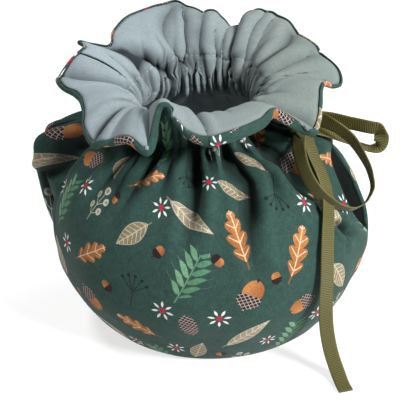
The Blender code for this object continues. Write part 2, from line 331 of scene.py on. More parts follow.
def meridian_at(run):
    """Radius and height of the meridian at values of run, the neck's for any above it."""
    return spline(np.clip(run, 0.0, NECK), np.arange(len(MERIDIAN)), MERIDIAN)


def cloth_distances():
    """Values of run and how far along the cloth from the hem each one lies."""
    runs = np.linspace(0.0, NECK + 1.0, 1501)
    meridian = meridian_at(runs)
    gaps = np.linalg.norm(np.diff(meridian, axis=0), axis=1)
    gaps = np.where(runs[1:] > NECK, FRILL_LENGTH * (runs[1] - runs[0]), gaps)
    return runs, np.concatenate([[0.0], np.cumsum(gaps)])


def even_runs(low, high, coarse, fine_from, step):
    """Values of run about a step apart along the cloth, coarser low down, and their
    distance from the hem."""
    runs, distance = cloth_distances()
    start, change, end = np.interp([low, max(low, fine_from), high], runs, distance)
    lower = np.linspace(start, change, int(round((change - start) / coarse)), endpoint=False)
    upper = np.linspace(change, end, int(round((end - change) / step)) + 1)
    wanted = np.concatenate([lower, upper])
    return np.interp(wanted, distance, runs), wanted


# ---------------------------------------------------------------------------------------
# Gathers, creases and rolled edges
# ---------------------------------------------------------------------------------------

def seam_window(turn):
    """0 on the two side seams and 1 a few degrees away, so that the panels match there."""
    away = np.abs((turn + 90.0) % 180.0 - 90.0)
    return smoothstep(away, 0.0, 3.0)


BAR_MIDDLE = 0.64           # mean height of a rounded bar, taken off so that cloth stays put
PLEAT_HEIGHT = 0.75         # of a pleat beside a bar
PLEAT_GROOVE = 0.8


def gathers(turn, run, count, depth, inside=False):
    """Height of the gathers above the smooth cloth, and 0 to 1 for how deep in a groove a point
    lies, which sets the shade painted there. Narrow rounded bars, uneven in width and parted by
    sharp grooves, cross the elastic casing and run out down the shoulder and up the frill;
    every second groove goes on further as a pleat. The lining's bars lie behind the print's
    grooves."""
    phase = np.radians(turn)
    warp = 0.9 * np.sin(3 * phase + 0.4) + 0.6 * np.sin(7 * phase + 2.0) + inside * np.pi / 2
    bars = np.abs(np.cos(0.5 * count * phase + warp))
    pleats = np.abs(np.cos(0.25 * count * phase + 0.5 * warp + 0.3))
    on_casing = smoothstep(run, 10.6, 13.0) * (1.0 - smoothstep(run, NECK + 0.18, NECK + 0.40))
    reach = 0.62 + 0.20 * np.sin(11 * phase + 0.7) + 0.14 * np.sin(17 * phase + 2.1)
    further = smoothstep(run, 9.0, 12.0) * (1.0 - smoothstep(run, NECK + 0.25, NECK + reach))
    uneven = (1.0 + 0.30 * np.sin(5 * phase + 1.0) * np.sin(2 * phase)) * seam_window(turn)
    height = (bars - BAR_MIDDLE) * on_casing + PLEAT_HEIGHT * (pleats - BAR_MIDDLE) * further
    painted_groove_shade = (1.0 - bars) ** 2.5 * on_casing + PLEAT_GROOVE * (1.0 - pleats) ** 4 * further
    return depth * uneven * height, np.clip(uneven * painted_groove_shade, 0.0, 1.0)


RIPPLE_SIZE = 0.35
RIPPLE_SEED = 3
RIPPLE_COUNT = 9
RIPPLE_LENGTHS = (16.0, 48.0)
RIPPLE_RADIUS = 70.0        # the waves cross a flat cloth, unrolled at this radius
RIPPLE_ROW = 15.0           # and this far from row to row of MERIDIAN


def ripples(turn, run):
    """Unevenness of soft cloth: a few long waves that cross each other at random angles.
    Both layers get the same ones."""
    rng = np.random.default_rng(RIPPLE_SEED)
    across = np.radians(turn) * RIPPLE_RADIUS
    along = run * RIPPLE_ROW
    total = np.zeros(np.broadcast(across, along).shape)
    for _ in range(RIPPLE_COUNT):
        angle, phase = rng.uniform(0, 2 * np.pi, 2)
        length = rng.uniform(*RIPPLE_LENGTHS)
        distance = across * np.cos(angle) + along * np.sin(angle)
        total += np.sin(distance * 2 * np.pi / length + phase)
    return seam_window(turn) * RIPPLE_SIZE * total / 3.0


FOLDS = (
    # low run, high run, turn low, turn middle, turn high, depth low, depth high, half width
    (7.6, 12.9, 274, 278, 277, 2.0, 7.0, 4.6),
    (9.4, 12.9, 293, 292, 303, 1.0, 4.2, 2.6),
    (6.9, 12.6, 298, 302, 304, 2.0, 7.0, 4.8),
    (8.4, 12.6, 335, 323, 328, 2.8, 7.0, 4.6),
    (9.2, 12.2, 315, 315, 314, 1.2, 3.8, 2.6),
    (8.6, 12.6, 243, 248, 250, 1.6, 5.0, 4.0),
    (8.6, 12.4, 224, 228, 232, 1.6, 5.0, 4.4),
    (9.8, 12.6, 260, 261, 263, 0.8, 3.4, 2.4),
    (9.8, 12.4, 285, 285, 287, 0.6, 2.8, 2.0),
    (6.9, 11.2, 196, 180, 201, 4.0, 7.5, 4.0),
    (9.0, 12.4, 346, 345, 343, 1.0, 3.6, 2.6),
    (6.8, 7.7, 349, 347, 345, 3.4, 5.4, 3.6),
    (6.4, 7.4, 338, 343, 347, 0.8, 3.4, 1.8),
    (7.3, 8.4, 343, 342, 336, 3.0, 0.8, 1.8),
    (14.08, 14.92, 492, 512, 520, -7.5, -4.2, 3.6),
    (14.08, 14.88, 520, 516, 525, -5.2, -3.2, 2.8),
    (14.08, 14.92, 470, 494, 470, -2.8, -2.4, 4.0),
    (14.10, 14.75, 471, 466, 462, -3.2, -1.8, 2.0),
    (14.08, 14.95, 458, 456, 453, -5.4, -3.6, 2.6),
    (14.10, 14.60, 444, 445, 446, -2.4, -0.8, 2.0),
    (14.08, 14.97, 423, 426, 429, -5.6, -4.4, 2.2),
    (14.12, 14.94, 410, 419, 417, -4.0, -2.2, 1.8),
    (14.16, 14.92, 388, 386, 397, -5.0, -4.2, 3.0),
    (14.16, 14.90, 370, 376, 381, -4.8, -3.4, 2.4),
    (14.20, 14.90, 403, 408, 411, -2.4, -1.6, 3.4),
    (14.24, 14.86, 338, 356, 364, -2.6, -2.0, 2.2),
    (14.08, 14.45, 358, 359, 361, -3.0, -0.8, 2.0),
    (14.60, 14.99, 326, 328, 329, -2.6, -2.0, 2.0),
    (14.25, 14.97, 217, 214, 215, -4.8, -3.6, 2.4),
    (14.08, 14.88, 273, 275, 277, -5.0, -2.4, 2.6),
    (14.25, 14.95, 186, 191, 187, -3.2, -2.8, 2.0),
    (14.20, 14.92, 242, 241, 241, -4.0, -2.8, 2.4),
    (14.08, 14.50, 502, 501, 503, -2.6, -0.8, 2.0),
)


PRINT_SIDE, LINING_SIDE = 1.0, -1.0
# Painted shade: the cloth's colour is darkened down the folds and the gathers' grooves, where
# shade falls.
SHADE_SPREAD = {PRINT_SIDE: 1.15, LINING_SIDE: 1.7}     # the shade is wider than the fold
SHADE_DEPTH = 3.4           # a fold this deep is fully shaded
SHADE_FALL = 1.8            # and how fast the shade falls off towards a shallow one
GROOVE_SHADE = 0.9          # shade at the bottom of a gather's groove


def painted_crease_shade(turn, run, painted_groove_shade, facing):
    """0 to 1 for how much shade is painted into the cloth's colour down a fold or a gather's
    groove, as seen from the side that it faces."""
    deep = np.clip(facing * folds(turn, run, SHADE_SPREAD[facing]) / SHADE_DEPTH, 0.0, 1.0)
    return np.maximum(deep ** SHADE_FALL, GROOVE_SHADE * painted_groove_shade)


def folds(turn, run, spread=1.0):
    """Depth of the listed folds, which both layers follow: a sharp trough on one side of the
    cloth and a ridge on the other, with the cloth puffed up beside it. A negative depth is a
    trough on the lining's side, and a spread over 1 widens them all."""
    depth = np.zeros(np.broadcast(turn, run).shape)
    radii = [radius for radius, _ in MERIDIAN] + [FRILL_RADIUS]
    radius = np.interp(run, range(len(radii)), radii)
    length = np.where(run > NECK, FRILL_LENGTH, ROW_LENGTH)
    for low, high, first, middle, last, low_depth, high_depth, half_width in FOLDS:
        t = np.clip((run - low) / (high - low), 0.0, 1.0)
        line = (1 - t) ** 2 * first + 2 * t * (1 - t) * middle + t * t * last
        slope = 2 * ((1 - t) * (middle - first) + t * (last - middle)) / (high - low)
        slant = np.radians(slope) * radius / length
        arc = np.radians(turn_between(turn, line)) * radius
        away = np.abs(arc) / np.sqrt(1 + slant ** 2) / (half_width * spread)
        across = np.exp(-away ** 1.5) - 0.35 * np.exp(-((away - 2.1) / 0.9) ** 2)
        margin = 0.22 * (high - low)
        fade = smoothstep(run, low - margin, low + margin)
        fade = fade * (1.0 - smoothstep(run, high - 0.5 * margin, high + margin))
        depth += (low_depth + (high_depth - low_depth) * t) * fade * across
    return depth * seam_window(turn)


SEAM_RADIUS = 0.45          # of a panel's side edge where the side seams are sewn
SLOT_TOP_RUN = 12.5         # both openings end below this run
EDGE_ANGLES = np.radians(np.arange(20, 181, 20))        # steps of the frill's rolled edge
SIDE_ANGLES = np.radians(np.arange(30, 181, 30))        # and of the panels' side edges


def roll(edge, normal, outward, radius, angles):
    """Points and normals of an edge rolled under: an arc of a radius that starts on the
    outer face and turns, by the angles given, through the outward direction to the back."""
    radius = np.asarray(radius)[..., None, None]
    cos, sin = np.cos(angles)[:, None], np.sin(angles)[:, None]
    facing = normal[..., None, :] * cos + outward[..., None, :] * sin
    points = (edge[..., None, :] - radius * normal[..., None, :]) + radius * facing
    return points, facing


def seam_roll(run):
    """Radius of a panel's rolled side edge: full along the openings, small on the seams."""
    height = meridian_at(run)[..., 1]
    spout = smoothstep(slot_half_angle(SPOUT_SLOT, "front", height), 0.0, 4.0)
    handle = smoothstep(slot_half_angle(HANDLE_SLOT, "front", height), 0.0, 4.0)
    below_casing = run <= SLOT_TOP_RUN
    return SEAM_RADIUS + spout * below_casing, SEAM_RADIUS + handle * below_casing


def draw_back(points, edge, amount, columns):
    """Moves the columns beside an edge back from it, by less and less further in."""
    order = slice(0, columns) if edge == 0 else slice(-1, -columns - 1, -1)
    step = 1 if edge == 0 else -1
    way = unit(points[edge + step] - points[edge])
    fall = (1.0 - np.arange(columns) / columns) ** 2
    points[order] += fall[:, None, None] * amount[None, :, None] * way[None]


# ---------------------------------------------------------------------------------------
# The print: motifs laid out on a half-drop repeat
# ---------------------------------------------------------------------------------------

OAK, LEAF, BLADE, ACORN, NUT, SPRIG, BERRY, FLOWER, UMBEL, CONE = range(1, 11)
REPEAT = 120.0
PRINT_SCALE = 1.34          # the print on the cloth is this much larger than the table says
MOTIF_REACH = 1.3           # a motif may take up faces this many half lengths away
SLENDER = {
    # width over length
    OAK: 0.50, LEAF: 0.48, BLADE: 0.32, ACORN: 0.62, NUT: 0.62, SPRIG: 0.55, BERRY: 0.62,
    FLOWER: 1.0, UMBEL: 0.75, CONE: 0.55,
}
MOTIFS = (
    # motif, along the hem, up the cloth, angle, half length
    (OAK, 11, 13, 60, 12.5),
    (UMBEL, 11, 39, 240, 9),
    (LEAF, 11, 59, 120, 10),
    (SPRIG, 11, 86, 80, 12.5),
    (ACORN, 13, 109, 200, 7.2),
    (BLADE, 36, 23, 118, 14),
    (ACORN, 35, 49, 300, 8.2),
    (OAK, 38, 72, 30, 11),
    (BERRY, 37, 94, 70, 9),
    (LEAF, 34, 115, 300, 10),
    (SPRIG, 62, 11, 105, 13),
    (OAK, 59, 40, 150, 11),
    (UMBEL, 61, 62, 75, 9),
    (LEAF, 61, 86, 215, 10),
    (OAK, 61, 110, 25, 11),
    (LEAF, 84, 23, 70, 10),
    (CONE, 83, 46, 100, 7.5),
    (SPRIG, 85, 70, 60, 13),
    (BLADE, 86, 95, 325, 13.5),
    (UMBEL, 85, 118, 280, 9),
    (BERRY, 108, 12, 110, 9),
    (BLADE, 107, 37, 40, 14),
    (ACORN, 109, 60, 60, 8.2),
    (OAK, 107, 84, 100, 12.5),
    (LEAF, 110, 106, 150, 9.5),
    (FLOWER, 23, 32, 100, 5),
    (NUT, 23, 47, 20, 3.6),
    (FLOWER, 20, 70, 200, 5),
    (FLOWER, 24, 98, 330, 5.2),
    (NUT, 48, 60, 130, 3.6),
    (FLOWER, 48, 22, 30, 5),
    (NUT, 47, 99, 250, 3.6),
    (FLOWER, 73, 54, 160, 5.2),
    (FLOWER, 73, 25, 300, 5),
    (NUT, 73, 80, 40, 3.6),
    (FLOWER, 73, 98, 80, 5),
    (NUT, 96, 20, 190, 3.6),
    (FLOWER, 96, 50, 240, 5.5),
    (NUT, 97, 77, 310, 3.5),
    (FLOWER, 98, 110, 20, 4.8),
    (FLOWER, 119, 28, 60, 4.8),
    (NUT, 120, 66, 100, 3.5),
)


def nearest_motif(across, along):
    """For each face, the motif that it lies in: every corner gets its place in that motif's
    own frame, in half lengths, and the motif's number. Both inputs are (faces, corners)."""
    across, along = across / PRINT_SCALE, along / PRINT_SCALE
    middle_u, middle_v = across.mean(axis=1), along.mean(axis=1)
    nearest = np.full(len(middle_u), MOTIF_REACH)
    found = np.zeros(across.shape + (3,))
    columns = range(int(middle_u.min() // REPEAT) - 1, int(middle_u.max() // REPEAT) + 2)
    for motif, u, v, angle, size in MOTIFS:
        cos, sin = np.cos(np.radians(angle)), np.sin(np.radians(angle))
        for column in columns:
            centre_u = u + column * REPEAT
            first_v = v + (column % 2) * 0.5 * REPEAT
            centre_v = first_v + np.round((middle_v - first_v) / REPEAT) * REPEAT
            du, dv = middle_u - centre_u, middle_v - centre_v
            x = (du * cos + dv * sin) / size
            y = (dv * cos - du * sin) / size
            far = np.hypot(x, y / SLENDER[motif])
            here = far < nearest
            nearest[here] = far[here]
            du = across[here] - centre_u
            dv = along[here] - centre_v[here, None]
            found[here, :, 0] = (du * cos + dv * sin) / size
            found[here, :, 1] = (dv * cos - du * sin) / size
            found[here, :, 2] = motif
    return found


# ---------------------------------------------------------------------------------------
# Meshes
# ---------------------------------------------------------------------------------------

UV_PER_MM = 0.01            # the UV maps are in tenths of a metre
MM_PER_UV = 100.0


def grid_faces(columns, rows, turned=False):
    """Corner numbers of the quads of a grid of points, one row of four for each quad."""
    number = np.arange(columns * rows).reshape(columns, rows)
    quads = np.stack([
        number[:-1, :-1], number[1:, :-1], number[1:, 1:], number[:-1, 1:]], -1).reshape(-1, 4)
    return quads[:, ::-1] if turned else quads


def make_object(name, points, quads):
    """Smooth shaded mesh object from points in millimetres from the neck's axis."""
    points = (points.reshape(-1, 3) - np.array([*BOX_CENTRE, 0.0])) * MM
    mesh = bpy.data.meshes.new(name)
    mesh.vertices.add(len(points))
    mesh.vertices.foreach_set("co", points.astype(np.float32).ravel())
    mesh.loops.add(quads.size)
    mesh.loops.foreach_set("vertex_index", quads.astype(np.int32).ravel())
    mesh.polygons.add(len(quads))
    mesh.polygons.foreach_set("loop_start", np.arange(0, quads.size, 4, dtype=np.int32))
    mesh.update(calc_edges=True)
    mesh.validate()
    mesh.shade_smooth()
    made = bpy.data.objects.new(name, mesh)
    bpy.context.scene.collection.objects.link(made)
    return made


def add_uv(made, name, corners):
    """UV map from (faces, corners, 2) values in millimetres."""
    layer = made.data.uv_layers.new(name=name)
    layer.data.foreach_set("uv", (corners * UV_PER_MM).astype(np.float32).ravel())


def add_corner_vectors(made, name, corners):
    """Vector attribute on face corners."""
    attribute = made.data.attributes.new(name, "FLOAT_VECTOR", "CORNER")
    attribute.data.foreach_set("vector", corners.astype(np.float32).ravel())


def add_numbers(made, name, values):
    """Number for each vertex, as an attribute."""
    attribute = made.data.attributes.new(name, "FLOAT", "POINT")
    attribute.data.foreach_set("value", values.astype(np.float32).ravel())


def thicken(made, thickness, offset=-1.0, inner_slot=0):
    """Solidify modifier, in millimetres; inner faces take the material that many further."""
    shell = made.modifiers.new("thickness", "SOLIDIFY")
    shell.thickness = thickness * MM
    shell.offset = offset
    shell.material_offset = inner_slot


# ---------------------------------------------------------------------------------------
# Shader graphs
# ---------------------------------------------------------------------------------------

class Graph:
    """One material's nodes. `add` makes any node: its settings are set first, and then the
    values or links of its sockets."""

    def __init__(self, name):
        self.material = bpy.data.materials.new(name)
        self.material.use_nodes = True
        self.tree = self.material.node_tree
        self.tree.nodes.clear()

    def add(self, kind, settings=None, sockets=None):
        """One node of any kind."""
        node = self.tree.nodes.new(kind)
        for key, value in (settings or {}).items():
            setattr(node, key, value)
        for key, value in (sockets or {}).items():
            if isinstance(value, Value):
                self.tree.links.new(value.socket, node.inputs[key])
            elif isinstance(value, bpy.types.NodeSocket):
                self.tree.links.new(value, node.inputs[key])
            else:
                node.inputs[key].default_value = value
        return node

    def value(self, socket):
        """A socket as a number to do sums with."""
        return Value(self, socket)

    def split(self, vector):
        """The three numbers of a vector."""
        node = self.add("ShaderNodeSeparateXYZ", None, {0: vector})
        return [self.value(output) for output in node.outputs]

    def millimetres(self, uv_map):
        """The two coordinates of a UV map, in millimetres."""
        place = self.add("ShaderNodeUVMap", {"uv_map": uv_map}).outputs[0]
        first, second, _ = self.split(place)
        return first * MM_PER_UV, second * MM_PER_UV

    def mix(self, share, first, second):
        """Colour between two colours."""
        node = self.add("ShaderNodeMix", {"data_type": "RGBA"}, {0: share, 6: first, 7: second})
        return node.outputs[2]

    def noise(self, vector, scale, detail=3.0, rough=0.5):
        """Soft noise of 0 to 1 at a place, finer as the scale grows."""
        node = self.add(
            "ShaderNodeTexNoise", None,
            {"Vector": vector, "Scale": scale, "Detail": detail, "Roughness": rough})
        return self.value(node.outputs["Fac"])

    def finish(self, colour, roughness, height, distance, **constants):
        """Principled surface with a bump from a height, and the material that it makes."""
        bump = self.add(
            "ShaderNodeBump", None, {"Strength": 1.0, "Distance": distance, "Height": height})
        shader = self.add("ShaderNodeBsdfPrincipled", None, {
            "Base Color": colour, "Roughness": roughness, "Normal": bump.outputs[0]})
        for name, value in constants.items():
            shader.inputs[name.replace("_", " ")].default_value = value
        self.add("ShaderNodeOutputMaterial", None, {"Surface": shader.outputs[0]})
        return self.material


class Value:
    """A number that changes over the surface. Sums, products and the methods below add
    Math nodes, so that shader maths is written as an expression."""

    def __init__(self, graph, socket):
        self.graph = graph
        self.socket = socket

    def math(self, operation, *others, clamp=False):
        """One Math node, with this number first."""
        settings = {"operation": operation, "use_clamp": clamp}
        node = self.graph.add("ShaderNodeMath", settings, dict(enumerate((self, *others))))
        return Value(self.graph, node.outputs[0])

    def __add__(self, other):
        return self.math("ADD", other)

    def __sub__(self, other):
        return self.math("SUBTRACT", other)

    def __rsub__(self, other):
        return self.math("MULTIPLY_ADD", -1.0, other)

    def __mul__(self, other):
        return self.math("MULTIPLY", other)

    def __truediv__(self, other):
        return self.math("DIVIDE", other)

    def __pow__(self, other):
        return self.math("POWER", other)

    def __abs__(self):
        return self.math("ABSOLUTE")

    __radd__ = __add__
    __rmul__ = __mul__

    def clamp(self):
        return self.math("ADD", 0.0, clamp=True)

    def sin(self):
        return self.math("SINE")

    def fraction(self):
        return self.math("FRACT")

    def high(self, other):
        return self.math("MAXIMUM", other)

    def low(self, other):
        return self.math("MINIMUM", other)

    def far(self, other):
        """Length of the vector of two numbers."""
        return (self * self + other * other).math("SQRT")

    def soft(self, width):
        """0 below zero and 1 above, over a soft edge of a width."""
        return self.math("MULTIPLY_ADD", 1.0 / width, 0.5, clamp=True)

    def between(self, low, high, width=0.03):
        """1 between two bounds, with soft edges."""
        return (self - low).soft(width) * (high - self).soft(width)

    def near(self, half, width=0.03):
        """1 within a half width of zero, with soft edges."""
        return (half - abs(self)).soft(width)

    def equals(self, number):
        """1 where the number rounds to a whole one."""
        return self.math("COMPARE", float(number), 0.5)


def srgb(red, green, blue):
    """Linear colour from a screen colour of 0 to 255."""
    share = np.array([red, green, blue]) / 255.0
    linear = np.where(share <= 0.04045, share / 12.92, ((share + 0.055) / 1.055) ** 2.4)
    return (*linear.tolist(), 1.0)


PRINT_PITCH, LINING_PITCH = 0.62, 0.55      # from thread to thread of the two cottons
STITCH_LENGTH = 2.6


def weave(across, along, pitch):
    """Height of a plain weave: threads that pass over and under each other."""
    over = (across * (2 * np.pi / pitch)).sin() * (along * (2 * np.pi / pitch)).sin()
    return over * 0.5 + 0.5


def slubs(graph, across, along):
    """Uneven yarns both ways: streaks of noise, long one way and thin the other."""
    warp = graph.add("ShaderNodeCombineXYZ", None, {0: across * 2.2, 1: along * 0.28})
    weft = graph.add("ShaderNodeCombineXYZ", None, {0: across * 0.28 + 40.0, 1: along * 2.2})
    streaks = [graph.noise(way.outputs[0], 1.0, 1.0) for way in (warp, weft)]
    return (streaks[0] + streaks[1]).math("MULTIPLY_ADD", 2.2, -1.7, clamp=True)


def read_painted_shade(graph):
    """The amount of shade painted into the cloth's colour, 1 at the bottom of a fold."""
    attribute = graph.add("ShaderNodeAttribute", {"attribute_name": "painted_crease_shade"})
    return graph.value(attribute.outputs["Fac"])


def stitches(across, along, line):
    """1 on the stitches of a sewn line at a distance from the hem."""
    on_line = (along - line).near(0.22, 0.16)
    return on_line * ((across * (1.0 / STITCH_LENGTH)).fraction() - 0.5).near(0.30, 0.1)


def casing_stitches(across, along):
    """1 on the stitches of the two lines that hold the casing."""
    lower, upper = (stitches(across, along, line) for line in CASING_SEAMS)
    return lower.high(upper)


def leaf_prints(x, y, kind):
    """Masks of the leaf motifs and of their veins. An oak blade swells and narrows along
    its length, its lobes swept forward; the other leaves are plain arcs."""
    side = abs(y)
    t = (x + 0.72) * 0.58
    inside = t.clamp()
    arch = (inside * np.pi).sin() ** 0.55
    lobe = abs(((t * 3.7 - side * 1.3) * np.pi + 0.3).sin()) ** 0.6
    width = arch * (lobe * 0.28 + 0.13)
    oak = (width - side - 0.02).soft(0.03)
    oak_stem = (y + 0.02).near(0.022) * x.between(-1.0, -0.6)
    rib = y.near(0.014)
    twig = ((t * 3.7 - side * 1.9 + 0.10).fraction() - 0.5).near(0.035, 0.05)
    oak_veins = rib.high(twig * (width * 0.8 - side).soft(0.04)) * oak

    is_leaf = kind.equals(LEAF)
    half = ((x + 0.82) * 0.55).clamp()
    plain_width = ((half ** 0.85) * np.pi).sin() * (is_leaf * 0.15 + 0.27)
    plain = (plain_width - side - 0.015).soft(0.03)
    plain_stem = (y - 0.02).near(0.02) * x.between(-1.0, -0.75)
    twigs = ((half * 7.5 - side * 3.2).fraction() - 0.5).near(0.07, 0.08)
    plain_veins = y.near(0.018).high(twigs * (plain_width * 0.86 - side).soft(0.04)) * plain
    border = (plain_width - side - 0.015).near(0.02) * plain
    return oak.high(oak_stem), oak_veins, plain.high(plain_stem), plain_veins.high(border)


def fruit_prints(x, y):
    """Masks of an acorn's nut and cap, of a small dark cone, and of the pale lattice on the
    cap and the cone, two sets of parallel lines that cross."""
    nut = (1.0 - (x - 0.24).far(y * 1.15) * 1.55).soft(0.05)
    cap = (1.0 - (x + 0.20).far(y * 0.84) * 1.85).soft(0.05) * (0.06 - x).soft(0.04)
    stem = y.near(0.05) * x.between(-0.98, -0.6)
    point = y.near(0.05) * x.between(0.8, 0.98)
    cone = (1.0 - (x * 0.62).far(y * 1.15) * 1.75).soft(0.05)
    up_line = ((x * 4.2 + y * 3.4).fraction() - 0.5).near(0.09, 0.08)
    down_line = ((x * 4.2 - y * 3.4).fraction() - 0.5).near(0.09, 0.08)
    return nut, cap.high(stem), point, cone, up_line.high(down_line)


def sprig_prints(x, y):
    """Masks of a green sprig, whose narrow leaves leave the stem in pairs, and of a twig
    with round berries."""
    side = abs(y)
    root = x - side * 0.75
    length = 0.52 - root * root * 0.20
    blade = (((side / length).clamp() ** 0.85) * np.pi).sin() * 0.40
    phase = root * 3.1 + y.soft(0.01) * 0.5
    leaves = (blade - abs(phase.fraction() - 0.5)).soft(0.1) * root.between(-0.80, 0.85)
    sprig = leaves.high(y.near(0.02) * x.between(-1.0, 0.85))

    ends = (0.20 - (x - 0.74).far(side)).high(0.18 - (x - 0.30).far(side - 0.40))
    ends = ends.high(0.17 - (x + 0.28).far(side - 0.36))
    berries = ends.soft(0.04)
    shade = (ends - 0.09).soft(0.05)
    stems = y.near(0.016) * x.between(-1.0, 0.6)
    stems = stems.high(((x + 0.12) * 0.95 - side).near(0.022) * side.between(0.0, 0.36))
    stems = stems.high(((x + 0.64) * 1.0 - side).near(0.022) * side.between(0.0, 0.33))
    return sprig, berries, shade, stems


PETALS = 7
RAY_SPACING = 24.0          # degrees between the five rays of a seed head


def head_prints(x, y):
    """Masks of a small round flower, its centre, and a dark seed head on its stalk. Both
    fold the angle round a point into equal sectors."""
    away = x.far(y)
    angle = y.math("ARCTAN2", x)
    petal_angle = 2 * np.pi / PETALS
    sector = ((angle * (1 / petal_angle)).fraction() - 0.5) * petal_angle * away
    petal = (((away - 0.30) * (1 / 0.66)).clamp() * np.pi).sin() * 0.115 - 0.015
    petals = (petal - abs(sector)).soft(0.05)
    centre = (0.25 - away).soft(0.05)

    base = x + 0.12
    away = base.far(y)
    ray_angle = np.radians(RAY_SPACING)
    angle = y.math("ARCTAN2", base) * (1 / ray_angle)
    which = angle.math("ROUND").high(-2.0).low(2.0)
    off = (angle - which) * ray_angle * away
    rays = off.near(0.020) * (0.80 - away).soft(0.05)
    seeds = (0.085 - off.far(away - 0.84)).soft(0.04) * (x + 0.1).soft(0.05)
    umbel = rays.high(seeds).high(y.near(0.022) * x.between(-1.0, -0.1))
    return petals, centre, umbel


# ---------------------------------------------------------------------------------------
# Settings
# ---------------------------------------------------------------------------------------

class ClothSettings(bpy.types.PropertyGroup):
    """Sizes and colours of the printed cotton and its lining."""

    thickness: bpy.props.FloatProperty(
        name="Cloth thickness", description="Thickness of the printed cloth",
        default=0.0009, min=0.0003, max=0.002, unit="LENGTH")
    lining: bpy.props.FloatProperty(
        name="Lining thickness", description="Thickness of the lining",
        default=0.0007, min=0.0003, max=0.002, unit="LENGTH")
    gathers: bpy.props.IntProperty(
        name="Gathers", description="Gathers round the neck", default=56, min=8, max=80)
    gather_depth: bpy.props.FloatProperty(
        name="Gather depth", description="Height of a gather above its grooves",
        default=0.0026, min=0.0, max=0.004, unit="LENGTH")
    ground: bpy.props.FloatVectorProperty(
        name="Ground", description="Colour of the print's ground",
        default=srgb(42, 70, 63)[:3], min=0.0, max=1.0, subtype="COLOR")
    lining_colour: bpy.props.FloatVectorProperty(
        name="Lining", description="Colour of the lining",
        default=srgb(109, 118, 114)[:3], min=0.0, max=1.0, subtype="COLOR")


class RibbonSettings(bpy.types.PropertyGroup):
    """Sizes and colour of the ribbon."""

    width: bpy.props.FloatProperty(
        name="Width", description="Width of the ribbon",
        default=0.008, min=0.003, max=0.02, unit="LENGTH")
    thickness: bpy.props.FloatProperty(
        name="Thickness", description="Thickness of the ribbon",
        default=0.0006, min=0.0002, max=0.002, unit="LENGTH")
    rib: bpy.props.FloatProperty(
        name="Rib", description="Distance from rib to rib",
        default=0.001, min=0.0004, max=0.003, unit="LENGTH")
    colour: bpy.props.FloatVectorProperty(
        name="Colour", description="Colour of the ribbon",
        default=srgb(71, 67, 26)[:3], min=0.0, max=1.0, subtype="COLOR")


class StageSettings(bpy.types.PropertyGroup):
    """Camera, lights and floor."""

    lens: bpy.props.FloatProperty(
        name="Lens", description="Focal length of the camera in millimetres",
        default=91.8, min=20.0, max=200.0)
    distance: bpy.props.FloatProperty(
        name="Distance", description="From the camera to the cosy",
        default=0.6, min=0.2, max=3.0, unit="LENGTH")
    floor: bpy.props.FloatVectorProperty(
        name="Floor", description="Colour of the floor",
        default=(0.35, 0.35, 0.35), min=0.0, max=1.0, subtype="COLOR")
    glow: bpy.props.FloatProperty(
        name="Floor glow", description="Light that comes up through the white floor",
        default=0.70, min=0.0, max=2.0)


# ---------------------------------------------------------------------------------------
# Printed panels and their lining
# ---------------------------------------------------------------------------------------

CASING_RUNS = (13.0, 14.24)     # runs of the two sewn lines that hold the casing
CASING_SEAMS = tuple(np.interp(CASING_RUNS, *cloth_distances()).tolist())
SEAM_DENT_WIDTH = 0.8
PANEL_DENT, LINING_DENT = 0.6, 0.7      # how far a sewn line is drawn into each cloth
PANEL_COLUMNS = 285
PANEL_STEPS = (2.2, 7.5, 1.15)          # coarse step, run where it ends, fine step
LINING_COLUMNS = 381
LINING_STEPS = (1.6, 11.5, 0.9)
SEAM_OVERLAP = 0.15         # the two panels' rolled side edges press into each other
PANEL_EASE, LINING_EASE = 7, 8          # columns that give way beside a side edge
TUCK_IN, TUCK_DOWN = 0.9, 0.2           # the last row behind the frill's rolled edge
LINING_EDGE = 0.99          # the lining ends this far up the frill
EDGE_DIP, NEXT_DIP, FOOT_DIP = 0.8, 0.25, 1.2   # how far its last two rows and its first
SIDE_DIP = 0.5                                  # row and its sides dip into the print


def seam_dents(along, depth):
    """Soft troughs along the casing's sewn lines."""
    return sum(depth * np.exp(-(((along - line) / SEAM_DENT_WIDTH) ** 2))
               for line in CASING_SEAMS)


